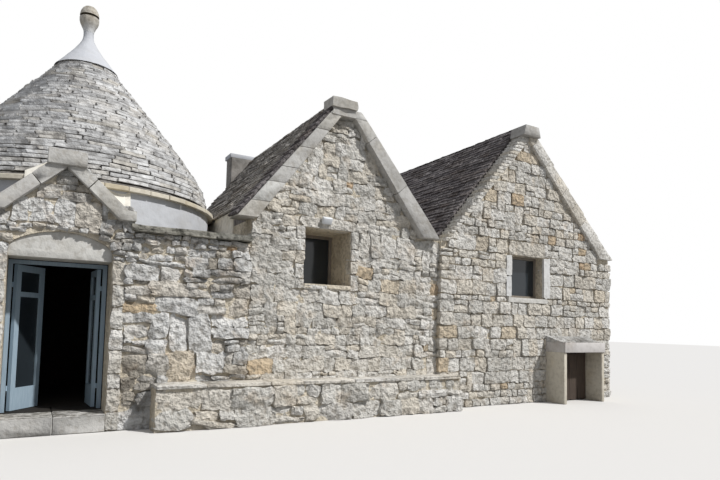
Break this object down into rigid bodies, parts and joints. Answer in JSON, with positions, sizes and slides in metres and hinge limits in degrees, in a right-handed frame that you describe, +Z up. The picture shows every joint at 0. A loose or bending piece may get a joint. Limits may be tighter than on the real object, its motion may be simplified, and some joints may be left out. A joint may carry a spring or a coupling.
{
  "type": "trullo house",
  "caption": "Stone trullo house: a conical dry-stone roof with a pinnacle over a gabled doorway, joined to pitched rooms with stone copings, a bench and a stone cabinet.",
  "frame": {"origin": "on the ground under the point of the cone, on the underside of the trullo floor", "axes": "+X along the facade from the trullo to the pitched rooms, +Y from the facade into the house, +Z up"},
  "size_m": [11.49, 4.815, 6.1334],
  "materials": {
    "clear_glass": "polished",
    "dark_wood": "matt",
    "dressed_stone": "smooth sawn",
    "forged_iron": "matt",
    "lime_plaster": "matt",
    "limewash": "matt",
    "painted_wood": "painted, satin",
    "roof_slab": "rough",
    "rubble_stone": "rough",
    "weathered_slab": "rough"
  },
  "bodies": {
    "house": {"bench_base": "rubble_stone", "bench_slab": "dressed_stone", "cabinet_panels": "dressed_stone", "cabinet_top": "dressed_stone", "chimney": "lime_plaster", "chimney_cap": "dressed_stone", "cone_cap": "limewash", "door_frame": "painted_wood", "door_gable_capstone": "dressed_stone", "door_gable_coping_left": "dressed_stone", "door_gable_coping_right": "dressed_stone", "door_gable_saddle": "lime_plaster", "door_gable_wall": "rubble_stone", "door_head_wall": "rubble_stone", "door_lintel": "dressed_stone", "door_pintles": "forged_iron", "door_threshold": "dressed_stone", "drum_left_back": "limewash", "drum_left_front": "limewash", "drum_right_back": "limewash", "drum_right_front": "limewash", "eave_ring": "dressed_stone", "lamia_floors": "dressed_stone", "lamia_left_back_wall": "rubble_stone", "lamia_left_front_wall": "rubble_stone", "lamia_left_roof_left": "roof_slab", "lamia_left_roof_right": "roof_slab", "lamia_left_side_wall": "lime_plaster", "lamia_right_back_wall": "rubble_stone", "lamia_right_front_wall": "rubble_stone", "lamia_right_roof_left": "roof_slab", "lamia_right_roof_right": "roof_slab", "lamia_right_side_wall": "rubble_stone", "left_gable_capstone": "dressed_stone", "left_gable_coping_left": "dressed_stone", "left_gable_coping_right": "dressed_stone", "left_window_lintel": "dressed_stone", "left_window_sill": "dressed_stone", "parapet_coping_front": "weathered_slab", "parapet_coping_rear": "weathered_slab", "pinnacle": "limewash", "right_gable_capstone": "dressed_stone", "right_gable_coping": "dressed_stone", "right_gable_verge": "roof_slab", "trullo_back_wall": "rubble_stone", "trullo_cone": "roof_slab", "trullo_floor": "dressed_stone", "trullo_front_wall_left": "rubble_stone", "trullo_front_wall_right": "rubble_stone", "trullo_left_wall": "rubble_stone", "trullo_right_wall": "rubble_stone", "valley_wall": "rubble_stone", "window_frames": "dark_wood", "window_glass": "clear_glass"},
    "right_leaf": {"door_leaf_right": "painted_wood", "door_glass_right": "clear_glass"},
    "left_leaf": {"door_leaf_left": "painted_wood", "door_glass_left": "clear_glass"}
  },
  "joints": [
    {"name": "right_leaf_hinge", "type": "hinge", "parent": "house", "child": "right_leaf", "pos_m": [0.209, -1.518, 1], "axis": [0, 0, -1], "range_deg": [-86, 2]},
    {"name": "left_leaf_hinge", "type": "hinge", "parent": "house", "child": "left_leaf", "pos_m": [-0.749, -1.518, 1], "axis": [0, 0, 1], "range_deg": [-52, 36]}
  ]
}
